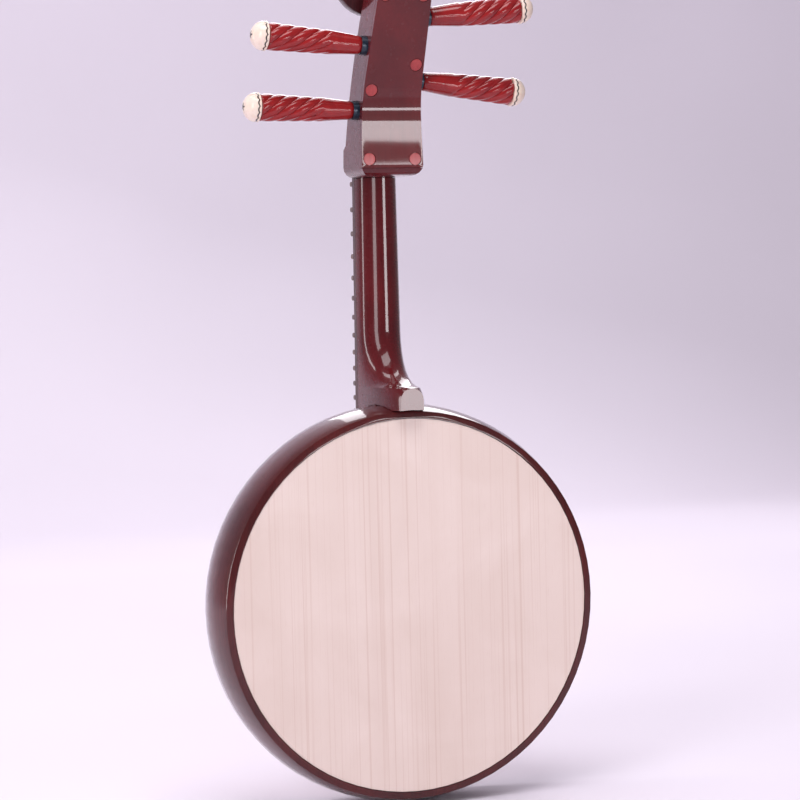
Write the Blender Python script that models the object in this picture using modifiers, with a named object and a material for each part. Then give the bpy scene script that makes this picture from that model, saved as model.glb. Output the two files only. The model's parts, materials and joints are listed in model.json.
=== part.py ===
"""Xiaoruan, a small round-bodied plucked lute, as separate pieces in metres.

Frame: origin at the centre of the back board's outer face, +Z up the neck,
+Y out of the back, -Y out of the soundboard and strings.
"""
from math import asin, cos, hypot, pi, radians, sin, sqrt, tan
from typing import NamedTuple

import bmesh
import bpy
from mathutils import Matrix, Vector

# Clearances
FIT = 0.0003                 # between pieces that touch
PEG_FIT = 0.0003             # round a peg's shaft

# Body
BODY_RADIUS = 0.131          # side hoop at its two rims
BODY_BULGE = 0.004           # swell of the hoop's outer side between the rims
BODY_DEPTH = 0.050           # outer face of one board to outer face of the other
RIM_WIDTH = 0.0056           # rim beside a board
RIM_PROUD = 0.0005           # rim above the board's face
RIM_ROUND = 0.0025           # rounding of the rim's outer edge
BOARD_THICKNESS = 0.004
SHELF_WIDTH = 0.004          # shelf in the hoop that carries a board
BODY_STEPS = 72              # facets round the body
PEG_STEPS = 20               # facets round bores, ferrules, caps and plugs

# Soundboard
HOLE_RADIUS = 0.016
HOLE_X = 0.062
HOLE_Z = 0.033
BAR_WIDTH = 0.008
BAR_HEIGHT = 0.010
BAR_END_HEIGHT = 0.003
BAR_SCALLOP = 0.030
UPPER_BAR_Z = 0.062
LOWER_BAR_Z = -0.008
BACK_BAR_Z = 0.020

# Neck and heel
SCALE_LENGTH = 0.330
NUT_Z = 0.3029               # end of the speaking length
GLUE_Y = -0.0575             # back face of the fingerboard
NECK_WIDTH_NUT = 0.0280
NECK_WIDTH_BODY = 0.0310
NECK_DEPTH = 0.0195          # behind the glue face
HEEL_SWEEP = 0.038           # length of the quarter ellipse of the heel
HEEL_TOP_Z = 0.1458          # where the sweep ends, at the top of the cap
HEEL_CAP_Y = 0.0075          # flat cap of the heel
HEEL_CAP_RADIUS = 0.0083     # round top of the cap, and half its width
NECK_SQUARENESS = 2.0        # exponent of the section, 2 is an ellipse
HEEL_SQUARENESS = 2.3
TENON_WIDTH = 0.018
TENON_FRONT_Y = -0.042
TENON_BACK_Y = -0.012
TENON_DEPTH = 0.0085         # into the hoop

# Fingerboard, nut and frets
FINGERBOARD_THICKNESS = 0.0055
FINGERBOARD_END_Z = 0.0495
FRET_COUNT = 24
FRET_WIDTH = 0.0034
FRET_HEIGHT_FIRST = 0.0045
FRET_HEIGHT_LAST = 0.0036
NUT_THICKNESS = 0.004
NUT_CROWN = 0.0004           # nut above the strings' centres

# Headstock
HEAD_BOTTOM_Z = 0.288
HEAD_TOP_Z = 0.430
HEAD_WIDTH_LOW = 0.0437      # at HEAD_WIDTH_LOW_Z
HEAD_WIDTH_HIGH = 0.0375     # at HEAD_WIDTH_HIGH_Z
HEAD_WIDTH_LOW_Z = 0.300
HEAD_WIDTH_HIGH_Z = 0.408
HEAD_CORNER = 0.0075         # rounding of the two bottom corners
HEAD_BACK_Y = -0.0194        # straight lower part of the back
BACK_BEND_Z = 0.322          # where the back starts to bend
BACK_BEND_RADIUS = 0.075
BACK_BEND_ANGLE = radians(25.6)
LIP_TOP_Z = 0.307            # the head is full depth up to here
LIP_DROP = 0.0045            # step behind the nut
LIP_RAMP = 0.003
FRONT_ARC_RADIUS = 0.299
FRONT_ARC_START = radians(10.9)
FRONT_ARC_TOP_Z = 0.408
CHEEK = 0.0088
SLOT_BOTTOM_Z = 0.311
SLOT_TOP_Z = 0.410
COVER_THICKNESS = 0.0034
COVER_BOTTOM_Z = 0.2934
COVER_TOP_Z = 0.419
PLUG_RADIUS = 0.0042
PLUG_THICKNESS = 0.0017
PLUG_INSET = 0.0055          # plug centre from the cover's edge
PLUG_LOW_Z = 0.2992
PLUG_LEFT_Z = 0.3448
PLUG_RIGHT_Z = 0.3612
PLUG_HIGH_Z = 0.4050

# Head ornament
LOBE_RADIUS = 0.0253
LOBE_X = 0.009
LOBE_Z = 0.4206
CREST_RADIUS = 0.019
CREST_Z = 0.443
ORNAMENT_BACK_Y = -0.028
ORNAMENT_THICKNESS = 0.008
ORNAMENT_ARM_WIDTH = 0.020
ORNAMENT_ARM_LOW_Z = 0.412
ORNAMENT_ARM_HIGH_Z = 0.425

# Pegs
SHAFT_RADIUS_TIP = 0.0043
SHAFT_RADIUS_CHEEK = 0.0053
FAR_CHEEK_DEPTH = 0.005      # how far the shaft enters the far cheek
FERRULE_RADIUS = 0.00645
FERRULE_LENGTH = 0.004       # outside the cheek
FERRULE_SEAT = 0.001         # let into the cheek
HANDLE_START_RADIUS = 0.0061
HANDLE_SHOULDER_RADIUS = 0.0080
HANDLE_END_RADIUS = 0.0094
HANDLE_SMOOTH = 0.0206       # plain taper next to the ferrule
HANDLE_FLUTED = 0.0441
FLUTES = 6
FLUTE_DEPTH = 0.0009
FLUTE_PITCH = 0.055          # one turn of the left-hand spiral
FLUTE_RUNOUT = 0.006
POINTS_PER_FLUTE = 4
FLUTE_RINGS = 12
CAP_RADIUS = 0.00995
CAP_LENGTH = 0.0105
CAP_BAND = 0.0016

# Strings, bridge and tailpiece
STRING_NUT_Y = -0.0685       # centres of the strings at the nut
STRING_ACTION = 0.0026       # strings above the last fret
OUTER_STRING_X = 0.00975     # at the nut
INNER_STRING_X = 0.00325
BRIDGE_SPREAD = 1.35         # string spacing at the bridge over that at the nut
BRIDGE_THICKNESS = 0.006
BRIDGE_FOOT = 0.066
BRIDGE_TOP = 0.038
BRIDGE_ARCH = 0.038
BRIDGE_ARCH_HEIGHT = 0.004
BRIDGE_FOOT_HEIGHT = 0.0035
TAILPIECE_TOP_Z = -0.096
TAILPIECE_LENGTH = 0.022
TAILPIECE_WIDTH = 0.052
TAILPIECE_HEIGHT = 0.011
TAILPIECE_CHAMFER = 0.002
TAIL_STRING_HEIGHT = 0.0037  # string centre above the soundboard at the tail
STRING_BEND = 0.0006         # where a string bends, past the nut or bridge
BALL_RADIUS = 0.0017
WINDING_TURNS = 3
WINDING_GAP = 0.0005         # between neighbouring turns
WINDING_STEPS = 12           # points in a turn


class Peg(NamedTuple):
    """One tuning peg: the side it enters from, where, and the string it takes."""

    name: str
    side: int                # 1 enters at +X, -1 at -X
    z: float
    y: float
    tilt: float              # outer end up, radians
    nut_x: float
    roller_x: float
    gauge: float             # string radius


PEGS = (
    Peg("left_low", 1, 0.3323, -0.0300, radians(1.8), OUTER_STRING_X, 0.0070, 0.00028),
    Peg("right_low", -1, 0.352, -0.0260, radians(-5.9), -OUTER_STRING_X, -0.0070, 0.00048),
    Peg("left_high", 1, 0.3742, -0.0135, radians(4.7), INNER_STRING_X, 0.0030, 0.00033),
    Peg("right_high", -1, 0.3927, -0.0070, radians(5.2), -INNER_STRING_X, -0.0030, 0.00040),
)

# Finishes: colour, roughness, metallic
FINISHES = {
    "hoop_lacquer": ((0.075, 0.012, 0.014), 0.22, 0.0),
    "board_wood": ((0.80, 0.60, 0.52), 0.55, 0.0),
    "bar_wood": ((0.62, 0.45, 0.30), 0.7, 0.0),
    "neck_lacquer": ((0.11, 0.010, 0.014), 0.16, 0.0),
    "fingerboard_wood": ((0.05, 0.015, 0.015), 0.3, 0.0),
    "fret_horn": ((0.12, 0.07, 0.06), 0.35, 0.0),
    "bone": ((0.82, 0.74, 0.66), 0.35, 0.0),
    "bridge_wood": ((0.16, 0.06, 0.035), 0.4, 0.0),
    "cover_lacquer": ((0.12, 0.008, 0.012), 0.15, 0.0),
    "ornament_wood": ((0.045, 0.010, 0.012), 0.3, 0.0),
    "peg_lacquer": ((0.30, 0.015, 0.018), 0.14, 0.0),
    "ferrule": ((0.018, 0.035, 0.065), 0.3, 0.0),
    "string_steel": ((0.55, 0.53, 0.50), 0.3, 1.0),
    "plug_lacquer": ((0.42, 0.05, 0.055), 0.3, 0.0),
}


# Scene, collections and materials

def clear_scene():
    """Remove every object of the open scene."""
    for item in list(bpy.data.objects):
        bpy.data.objects.remove(item, do_unlink=True)


def make_collection(name):
    """Return a new collection linked to the scene."""
    group = bpy.data.collections.new(name)
    bpy.context.scene.collection.children.link(group)
    return group


def make_material(name):
    """Return the Principled material of one finish."""
    colour, roughness, metallic = FINISHES[name]
    material = bpy.data.materials.new(name)
    material.use_nodes = True
    shader = material.node_tree.nodes["Principled BSDF"]
    shader.inputs["Base Color"].default_value = (*colour, 1.0)
    shader.inputs["Roughness"].default_value = roughness
    shader.inputs["Metallic"].default_value = metallic
    material.diffuse_color = (*colour, 1.0)
    return material


class Workshop:
    """Holds the collections and materials, and adds pieces and cutters."""

    def __init__(self):
        self.parts = make_collection("xiaoruan")
        self.cutters = make_collection("cutters")
        self.materials = {name: make_material(name) for name in FINISHES}

    def piece(self, name, mesh, finish):
        """Add a named sub-part with its own material."""
        item = bpy.data.objects.new(name, mesh)
        mesh.materials.clear()
        mesh.materials.append(self.materials[finish])
        self.parts.objects.link(item)
        return item

    def cutter(self, name, mesh):
        """Add a hidden shape that cuts or joins a sub-part."""
        item = bpy.data.objects.new(name, mesh)
        item.hide_render = True
        item.display_type = "WIRE"
        self.cutters.objects.link(item)
        return item


# Modelling tools

def smooth_interval(start, end, count):
    """Return count evenly spaced values from start to end."""
    return [start + (end - start) * index / (count - 1) for index in range(count)]


def arc(centre, radius, start, end, count):
    """Return points on an arc, angles in radians."""
    return [(centre[0] + radius * cos(angle), centre[1] + radius * sin(angle))
            for angle in smooth_interval(start, end, count)]


def bmesh_to_mesh(name, shape):
    """Turn a bmesh into a mesh with its faces pointing out."""
    bmesh.ops.recalc_face_normals(shape, faces=shape.faces)
    mesh = bpy.data.meshes.new(name)
    shape.to_mesh(mesh)
    shape.free()
    return mesh


def box_mesh(name, low, high):
    """Return a box between two corners."""
    shape = bmesh.new()
    bmesh.ops.create_cube(shape, size=1.0)
    low, high = Vector(low), Vector(high)
    size = high - low
    bmesh.ops.scale(shape, vec=size, verts=shape.verts)
    bmesh.ops.translate(shape, vec=(low + high) / 2, verts=shape.verts)
    return bmesh_to_mesh(name, shape)


def cylinder_mesh(name, radius, start, end, steps, end_radius=None):
    """Return a cylinder or cone along local Z, from start to end."""
    shape = bmesh.new()
    top = radius if end_radius is None else end_radius
    bmesh.ops.create_cone(shape, cap_ends=True, segments=steps, radius1=radius, radius2=top,
                          depth=end - start)
    bmesh.ops.translate(shape, vec=(0, 0, (start + end) / 2), verts=shape.verts)
    return bmesh_to_mesh(name, shape)


def loft_mesh(name, rings):
    """Skin a closed solid over rings that have equal numbers of points."""
    shape = bmesh.new()
    loops = [[shape.verts.new(point) for point in ring] for ring in rings]
    count = len(loops[0])
    for lower, upper in zip(loops, loops[1:]):
        for index in range(count):
            after = (index + 1) % count
            shape.faces.new((lower[index], lower[after], upper[after], upper[index]))
    shape.faces.new(list(reversed(loops[0])))
    shape.faces.new(loops[-1])
    return bmesh_to_mesh(name, shape)


def profile_mesh(name, profile, closed):
    """Return the outline that a Screw modifier turns about Z."""
    count = len(profile)
    edges = [(index, index + 1) for index in range(count - 1)]
    if closed:
        edges.append((count - 1, 0))
    mesh = bpy.data.meshes.new(name)
    mesh.from_pydata([(radius, 0.0, height) for radius, height in profile], edges, [])
    return mesh


def turn(item, steps):
    """Turn an object's profile about its Z axis."""
    screw = item.modifiers.new("turned", "SCREW")
    screw.axis = "Z"
    screw.angle = 2 * pi
    screw.steps = steps
    screw.render_steps = steps
    screw.use_merge_vertices = True
    screw.merge_threshold = 0.00001
    screw.use_smooth_shade = True
    return item


def mesh_of_curve(name, curve, weld=0.00001):
    """Turn a curve into one closed mesh, with its caps welded on."""
    item = bpy.data.objects.new(name, curve)
    bpy.context.scene.collection.objects.link(item)
    bpy.context.view_layer.update()
    evaluated = item.evaluated_get(bpy.context.evaluated_depsgraph_get())
    mesh = bpy.data.meshes.new_from_object(evaluated)
    mesh.name = name
    bpy.data.objects.remove(item, do_unlink=True)
    bpy.data.curves.remove(curve)
    shape = bmesh.new()
    shape.from_mesh(mesh)
    bmesh.ops.remove_doubles(shape, verts=shape.verts, dist=weld)
    bmesh.ops.recalc_face_normals(shape, faces=shape.faces)
    shape.to_mesh(mesh)
    shape.free()
    return mesh


def plate_mesh(name, outline, thickness):
    """Return a flat outline in local XY, thick along local Z about zero."""
    curve = bpy.data.curves.new(name, "CURVE")
    curve.dimensions = "2D"
    curve.fill_mode = "BOTH"
    curve.extrude = thickness / 2
    spline = curve.splines.new("POLY")
    spline.points.add(len(outline) - 1)
    for point, (x, y) in zip(spline.points, outline):
        point.co = (x, y, 0.0, 1.0)
    spline.use_cyclic_u = True
    return mesh_of_curve(name, curve)


def tube_mesh(name, points, radius, resolution=1):
    """Return a round tube along points, with its ends closed."""
    curve = bpy.data.curves.new(name, "CURVE")
    curve.dimensions = "3D"
    curve.bevel_depth = radius
    curve.bevel_resolution = resolution
    curve.use_fill_caps = True
    spline = curve.splines.new("POLY")
    spline.points.add(len(points) - 1)
    for node, point in zip(spline.points, points):
        node.co = (*point, 1.0)
    return mesh_of_curve(name, curve)


def boolean(item, other, operation="DIFFERENCE"):
    """Cut an object with another, or join the other to it."""
    step = item.modifiers.new(other.name, "BOOLEAN")
    step.operation = operation
    step.object = other
    step.solver = "EXACT"


def bevel(item, width, segments=1, angle=radians(35)):
    """Round the sharp edges of an object."""
    step = item.modifiers.new("rounded", "BEVEL")
    step.width = width
    step.segments = segments
    step.limit_method = "ANGLE"
    step.angle_limit = angle
    step.use_clamp_overlap = True


def smooth(item, angle=radians(35)):
    """Shade an object smooth, except at its sharp edges."""
    item.data.shade_smooth()
    item.data.set_sharp_from_angle(angle=angle)
    return item


def face_back(item):
    """Turn an object's local Z to +Y, out of the back."""
    item.rotation_euler = (-pi / 2, 0.0, 0.0)
    return item


# Body

def board_radius():
    """Radius of either board, beside the rim."""
    return BODY_RADIUS - RIM_WIDTH


def hoop_inner_radius():
    """Inner radius of the hoop between the boards."""
    return board_radius() + FIT - SHELF_WIDTH


def hoop_outer_radius(depth):
    """Radius of the hoop's outer side at a depth below the back rim."""
    half = BODY_DEPTH / 2 + RIM_PROUD - RIM_ROUND
    offset = (depth - BODY_DEPTH / 2) / half
    return BODY_RADIUS + BODY_BULGE * max(0.0, 1 - offset * offset)


def hoop_profile():
    """Section of the side hoop: radius, and height along +Y."""
    top, bottom = RIM_PROUD, -BODY_DEPTH - RIM_PROUD
    seat = board_radius() + FIT
    corner = BODY_RADIUS - RIM_ROUND
    shelf = BOARD_THICKNESS + FIT
    sweep = smooth_interval(-RIM_PROUD + RIM_ROUND, BODY_DEPTH + RIM_PROUD - RIM_ROUND, 5)[1:-1]
    profile = [(seat, top)]
    profile += arc((corner, top - RIM_ROUND), RIM_ROUND, pi / 2, 0, 3)
    profile += [(hoop_outer_radius(depth), -depth) for depth in sweep]
    profile += arc((corner, bottom + RIM_ROUND), RIM_ROUND, 0, -pi / 2, 3)
    profile += [(seat, bottom), (seat, -BODY_DEPTH + shelf)]
    profile += [(hoop_inner_radius(), -BODY_DEPTH + shelf), (hoop_inner_radius(), -shelf)]
    profile += [(seat, -shelf)]
    return profile


def tenon_box(name, play):
    """Box of the heel's tenon, or of its mortise with some play."""
    half = TENON_WIDTH / 2 + play
    inner = hoop_outer_radius(BODY_DEPTH / 2) - TENON_DEPTH - play
    outer = HEEL_TOP_Z - HEEL_CAP_RADIUS
    return box_mesh(name, (-half, TENON_FRONT_Y - play, inner), (half, TENON_BACK_Y + play, outer))


def make_hoop(shop):
    """The side hoop, with a shelf for each board and the neck's mortise."""
    hoop = shop.piece("side_hoop", profile_mesh("side_hoop", hoop_profile(), True), "hoop_lacquer")
    face_back(turn(hoop, BODY_STEPS))
    boolean(hoop, shop.cutter("cut_mortise", tenon_box("cut_mortise", FIT)))


def make_boards(shop):
    """The back board, and the soundboard with its two sound holes."""
    radius = board_radius()
    back = cylinder_mesh("back_board", radius, -BOARD_THICKNESS, 0.0, BODY_STEPS)
    face_back(shop.piece("back_board", back, "board_wood"))
    front_mesh = cylinder_mesh("soundboard", radius, -BODY_DEPTH, -BODY_DEPTH + BOARD_THICKNESS,
                               BODY_STEPS)
    front = face_back(shop.piece("soundboard", front_mesh, "board_wood"))
    for side in (-1, 1):
        hole_mesh = cylinder_mesh("cut_hole", HOLE_RADIUS, -BODY_DEPTH - BOARD_THICKNESS,
                                  -BODY_DEPTH + 2 * BOARD_THICKNESS, 32)
        hole = face_back(shop.cutter("cut_hole", hole_mesh))
        hole.location = (side * HOLE_X, 0.0, HOLE_Z)
        boolean(front, hole)


def bar_outline(z):
    """Outline of a bar that spans the hoop at a height, feet at zero."""
    reach = hoop_inner_radius() * cos(pi / BODY_STEPS) - FIT
    half = sqrt(reach ** 2 - (abs(z) + BAR_WIDTH / 2) ** 2)
    return [(-half, 0.0), (half, 0.0), (half, BAR_END_HEIGHT), (half - BAR_SCALLOP, BAR_HEIGHT),
            (-half + BAR_SCALLOP, BAR_HEIGHT), (-half, BAR_END_HEIGHT)]


def make_bars(shop):
    """Two bars under the soundboard and one on the back board."""
    seat = BOARD_THICKNESS + FIT
    plan = (("soundboard_bar_upper", UPPER_BAR_Z, -BODY_DEPTH + seat, 0.0),
            ("soundboard_bar_lower", LOWER_BAR_Z, -BODY_DEPTH + seat, 0.0),
            ("back_bar", BACK_BAR_Z, -seat, pi))
    for name, z, y, roll in plan:
        bar = shop.piece(name, plate_mesh(name, bar_outline(z), BAR_WIDTH), "bar_wood")
        bar.location = (0.0, y, z)
        bar.rotation_euler = (0.0, 0.0, roll)


# Neck, fingerboard, frets and nut

def neck_half_width(z):
    """Half the neck's width, from the nut to the body and on."""
    share = (NUT_Z - z) / (NUT_Z - BODY_RADIUS)
    return (NECK_WIDTH_NUT + (NECK_WIDTH_BODY - NECK_WIDTH_NUT) * share) / 2


def heel_back(z):
    """Back of the heel's section that leaves the cap its width when cut flat."""
    rise = max(0.0, z - (HEEL_TOP_Z - HEEL_CAP_RADIUS))
    width = sqrt(max(0.0, HEEL_CAP_RADIUS ** 2 - rise ** 2)) / neck_half_width(z)
    share = (1 - width ** HEEL_SQUARENESS) ** (1 / HEEL_SQUARENESS)
    front = GLUE_Y + FIT
    return front + (HEEL_CAP_Y - front) / share


def neck_section(z, back, squareness):
    """Section of the neck at a height: flat in front, superellipse behind."""
    half = neck_half_width(z)
    front = GLUE_Y + FIT
    depth = back - front
    points = []
    for angle in smooth_interval(0, pi, 17):
        across, along = cos(angle), sin(angle)
        x = half * abs(across) ** (2 / squareness) * (1 if across >= 0 else -1)
        y = front + depth * max(0.0, along) ** (2 / squareness)
        points.append((x, y, z))
    return points


def neck_rings():
    """Sections of the neck, from the head down to the body."""
    shaft_back = GLUE_Y + NECK_DEPTH
    foot = BODY_RADIUS - RIM_ROUND
    rings = []
    for z in smooth_interval(HEAD_BOTTOM_Z - FIT, HEEL_TOP_Z + HEEL_SWEEP, 4):
        rings.append(neck_section(z, shaft_back, NECK_SQUARENESS))
    for angle in smooth_interval(0, pi / 2, 9)[1:]:
        back = HEEL_CAP_Y - (HEEL_CAP_Y - shaft_back) * cos(angle)
        squareness = HEEL_SQUARENESS - (HEEL_SQUARENESS - NECK_SQUARENESS) * cos(angle)
        z = HEEL_TOP_Z + HEEL_SWEEP * (1 - sin(angle))
        rings.append(neck_section(z, back, squareness))
    for angle in smooth_interval(pi / 2, 0, 6)[1:]:
        z = HEEL_TOP_Z - HEEL_CAP_RADIUS * (1 - sin(angle))
        rings.append(neck_section(z, heel_back(z), HEEL_SQUARENESS))
    rings.append(neck_section(foot, heel_back(foot), HEEL_SQUARENESS))
    return rings


def body_envelope(name, play):
    """The hoop's outer side as a solid, longer than the body, for cutting."""
    profile = [(0.0, BODY_DEPTH), (BODY_RADIUS + play, BODY_DEPTH)]
    for depth in smooth_interval(-RIM_PROUD + RIM_ROUND, BODY_DEPTH + RIM_PROUD - RIM_ROUND, 5):
        profile.append((hoop_outer_radius(depth) + play, -depth))
    profile += [(BODY_RADIUS + play, -2 * BODY_DEPTH), (0.0, -2 * BODY_DEPTH)]
    return profile_mesh(name, profile, False)


def make_neck(shop):
    """Neck and heel in one piece, seated on the hoop, with its tenon."""
    neck = smooth(shop.piece("neck", loft_mesh("neck", neck_rings()), "neck_lacquer"))
    reach = BODY_RADIUS
    cap = box_mesh("cut_heel_cap", (-reach, HEEL_CAP_Y, 0.0), (reach, reach, HEAD_BOTTOM_Z))
    boolean(neck, shop.cutter("cut_heel_cap", cap))
    envelope = shop.cutter("cut_body_envelope", body_envelope("cut_body_envelope", FIT))
    boolean(neck, face_back(turn(envelope, BODY_STEPS)))
    boolean(neck, shop.cutter("join_tenon", tenon_box("join_tenon", 0.0)), "UNION")


def fingerboard_front():
    """Front face of the fingerboard."""
    return GLUE_Y - FINGERBOARD_THICKNESS


def tongue_back():
    """Back of the fingerboard where it lies over the body."""
    return -BODY_DEPTH - RIM_PROUD - FIT


def fingerboard_section(z, back):
    """Rectangle of the fingerboard at a height."""
    half = neck_half_width(z)
    front = fingerboard_front()
    return [(-half, front, z), (half, front, z), (half, back, z), (-half, back, z)]


def make_fingerboard(shop):
    """Fingerboard, thin on the neck and thick where it lies over the soundboard."""
    step = hoop_outer_radius(BODY_DEPTH) + FIT
    rings = [fingerboard_section(NUT_Z - FIT, GLUE_Y),
             fingerboard_section(step, GLUE_Y),
             fingerboard_section(step - FIT, tongue_back()),
             fingerboard_section(FINGERBOARD_END_Z, tongue_back())]
    board = shop.piece("fingerboard", loft_mesh("fingerboard", rings), "fingerboard_wood")
    boolean(board, shop.cutter("cut_neck_foot", neck_foot_clearance()))


def neck_foot_clearance():
    """Space that the front of the neck needs behind the fingerboard."""
    half = NECK_WIDTH_BODY
    low = hoop_outer_radius(BODY_DEPTH) * cos(asin(half / BODY_RADIUS / 2))
    return box_mesh("cut_neck_foot", (-half, GLUE_Y, low), (half, 0.0, HEAD_BOTTOM_Z))


def fret_z(number):
    """Height of a fret on the scale."""
    return NUT_Z - SCALE_LENGTH * (1 - 2 ** (-number / 12))


def fret_height(number):
    """How far a fret stands out of the fingerboard."""
    share = (number - 1) / (FRET_COUNT - 1)
    return FRET_HEIGHT_FIRST + (FRET_HEIGHT_LAST - FRET_HEIGHT_FIRST) * share


def fret_mesh(name, number):
    """A fret: upright sides and a round top, as wide as the fingerboard."""
    radius = FRET_WIDTH / 2
    height = fret_height(number)
    outline = [(-radius, 0.0), (radius, 0.0)]
    outline += arc((0.0, height - radius), radius, 0, pi, 7)
    return plate_mesh(name, outline, 2 * neck_half_width(fret_z(number)))


def make_frets(shop):
    """All the frets, along the fingerboard."""
    for number in range(1, FRET_COUNT + 1):
        name = f"fret_{number:02d}"
        fret = smooth(shop.piece(name, fret_mesh(name, number), "fret_horn"))
        fret.location = (0.0, fingerboard_front() - FIT, fret_z(number))
        fret.rotation_euler = Matrix(((0, 0, 1), (0, -1, 0), (1, 0, 0))).to_euler()


def notch(shop, item, start, end, radius):
    """Cut a string's groove, from one point to another."""
    start, end = Vector(start), Vector(end)
    groove = shop.cutter("cut_groove", cylinder_mesh("cut_groove", radius, 0.0,
                                                     (end - start).length, 12))
    groove.location = start
    groove.rotation_euler = (end - start).to_track_quat("Z", "Y").to_euler()
    boolean(item, groove)


def make_nut(shop):
    """The nut at the end of the fingerboard, grooved for the strings."""
    half = neck_half_width(NUT_Z)
    low = (-half, STRING_NUT_Y - NUT_CROWN, NUT_Z)
    high = (half, GLUE_Y, NUT_Z + NUT_THICKNESS)
    nut = shop.piece("nut", box_mesh("nut", low, high), "bone")
    bevel(nut, 0.0006)
    for peg in PEGS:
        bridge, top = string_speaking(peg)
        along = (top - bridge).normalized() * NUT_THICKNESS
        notch(shop, nut, top - along, top + 2 * along, peg.gauge + FIT)


# Headstock

def head_half_width(z):
    """Half the head's width, with its bottom corners rounded."""
    share = (z - HEAD_WIDTH_LOW_Z) / (HEAD_WIDTH_HIGH_Z - HEAD_WIDTH_LOW_Z)
    half = (HEAD_WIDTH_LOW + (HEAD_WIDTH_HIGH - HEAD_WIDTH_LOW) * share) / 2
    drop = HEAD_BOTTOM_Z + HEAD_CORNER - z
    if drop > 0:
        half -= HEAD_CORNER - sqrt(max(0.0, HEAD_CORNER ** 2 - drop ** 2))
    return half


def head_back_angle(z):
    """Lean of the head's back at a height."""
    run = max(0.0, z - BACK_BEND_Z)
    return min(BACK_BEND_ANGLE, asin(min(1.0, run / BACK_BEND_RADIUS)))


def head_back(z):
    """Back of the head, cover included: straight, bent, then straight again."""
    lean = head_back_angle(z)
    bend_end = BACK_BEND_Z + BACK_BEND_RADIUS * sin(lean)
    back = HEAD_BACK_Y + BACK_BEND_RADIUS * (1 - cos(lean)) + max(0.0, z - bend_end) * tan(lean)
    drop = HEAD_BOTTOM_Z + HEAD_CORNER - z
    if drop > 0:
        back -= HEAD_CORNER - sqrt(max(0.0, HEAD_CORNER ** 2 - drop ** 2))
    return back


def head_front(z):
    """Front of the head: a lip for the nut, a step, then one long arc."""
    lip = GLUE_Y + FIT
    start = LIP_TOP_Z + LIP_RAMP
    if z <= start:
        return lip + LIP_DROP * max(0.0, z - LIP_TOP_Z) / LIP_RAMP
    lean = asin(sin(FRONT_ARC_START) + (min(z, FRONT_ARC_TOP_Z) - start) / FRONT_ARC_RADIUS)
    return lip + LIP_DROP + FRONT_ARC_RADIUS * (cos(FRONT_ARC_START) - cos(lean))


def head_ring(z, front, back):
    """Rectangle of the head at a height."""
    half = head_half_width(z)
    return [(-half, front, z), (half, front, z), (half, back, z), (-half, back, z)]


def head_heights(low, high):
    """Heights of the head's sections between two ends."""
    corner = [HEAD_BOTTOM_Z + HEAD_CORNER * (1 - cos(angle))
              for angle in smooth_interval(0, pi / 2, 5)]
    bend_end = BACK_BEND_Z + BACK_BEND_RADIUS * sin(BACK_BEND_ANGLE)
    middle = [LIP_TOP_Z, LIP_TOP_Z + LIP_RAMP]
    middle += smooth_interval(BACK_BEND_Z, bend_end, 5)
    middle += smooth_interval(bend_end, FRONT_ARC_TOP_Z, 4)[1:]
    inside = [z for z in corner + middle if low + FIT < z < high - FIT]
    return [low, *inside, high]


def make_headstock(shop):
    """The pegbox: two cheeks and two end blocks round an open slot."""
    shoulder = HEAD_TOP_Z - HEAD_CORNER
    rings = [head_ring(z, head_front(z), head_back(z))
             for z in head_heights(HEAD_BOTTOM_Z, shoulder)]
    for angle in smooth_interval(0, pi / 2, 4)[1:]:
        z = shoulder + HEAD_CORNER * sin(angle)
        inset = HEAD_CORNER * (1 - cos(angle))
        rings.append(head_ring(z, head_front(z) + inset, head_back(shoulder) - inset))
    head = shop.piece("headstock", loft_mesh("headstock", rings), "neck_lacquer")
    boolean(head, shop.cutter("cut_slot", slot_mesh()))
    boolean(head, shop.cutter("cut_cover_seat", cover_seat_mesh()))
    for peg in PEGS:
        cut_peg_holes(shop, head, peg)


def slot_mesh():
    """The open slot for the strings, narrowing with the head."""
    rings = []
    for z in (SLOT_BOTTOM_Z, SLOT_TOP_Z):
        half = head_half_width(z) - CHEEK
        front, back = GLUE_Y - BODY_DEPTH, BODY_DEPTH
        rings.append([(-half, front, z), (half, front, z), (half, back, z), (-half, back, z)])
    return loft_mesh("cut_slot", rings)


def cover_seat_mesh():
    """Space behind the headstock for the cover, between a sill at each end."""
    rings = []
    for z in head_heights(COVER_BOTTOM_Z - FIT, COVER_TOP_Z + FIT):
        half, front = HEAD_WIDTH_LOW, head_back(z) - COVER_THICKNESS - FIT
        back = head_back(COVER_TOP_Z) + COVER_THICKNESS
        rings.append([(-half, front, z), (half, front, z), (half, back, z), (-half, back, z)])
    return loft_mesh("cut_cover_seat", rings)


def make_cover(shop):
    """The curved back cover, recessed for its six plugs."""
    rings = [head_ring(z, head_back(z) - COVER_THICKNESS, head_back(z))
             for z in head_heights(COVER_BOTTOM_Z, COVER_TOP_Z)]
    cover = shop.piece("head_cover", loft_mesh("head_cover", rings), "cover_lacquer")
    for index, (side, z) in enumerate(plug_places(), start=1):
        lean = head_back_angle(z)
        place = (side * (head_half_width(z) - PLUG_INSET), head_back(z), z)
        recess = cylinder_mesh("cut_plug", PLUG_RADIUS + FIT, -PLUG_THICKNESS - FIT,
                               COVER_THICKNESS, PEG_STEPS)
        cutter = shop.cutter("cut_plug", recess)
        name = f"cover_plug_{index}"
        disc = cylinder_mesh(name, PLUG_RADIUS, -PLUG_THICKNESS, 0.0, PEG_STEPS)
        plug = shop.piece(name, disc, "plug_lacquer")
        for item in (cutter, plug):
            item.location = place
            item.rotation_euler = (-pi / 2 - lean, 0.0, 0.0)
        boolean(cover, cutter)


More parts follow.
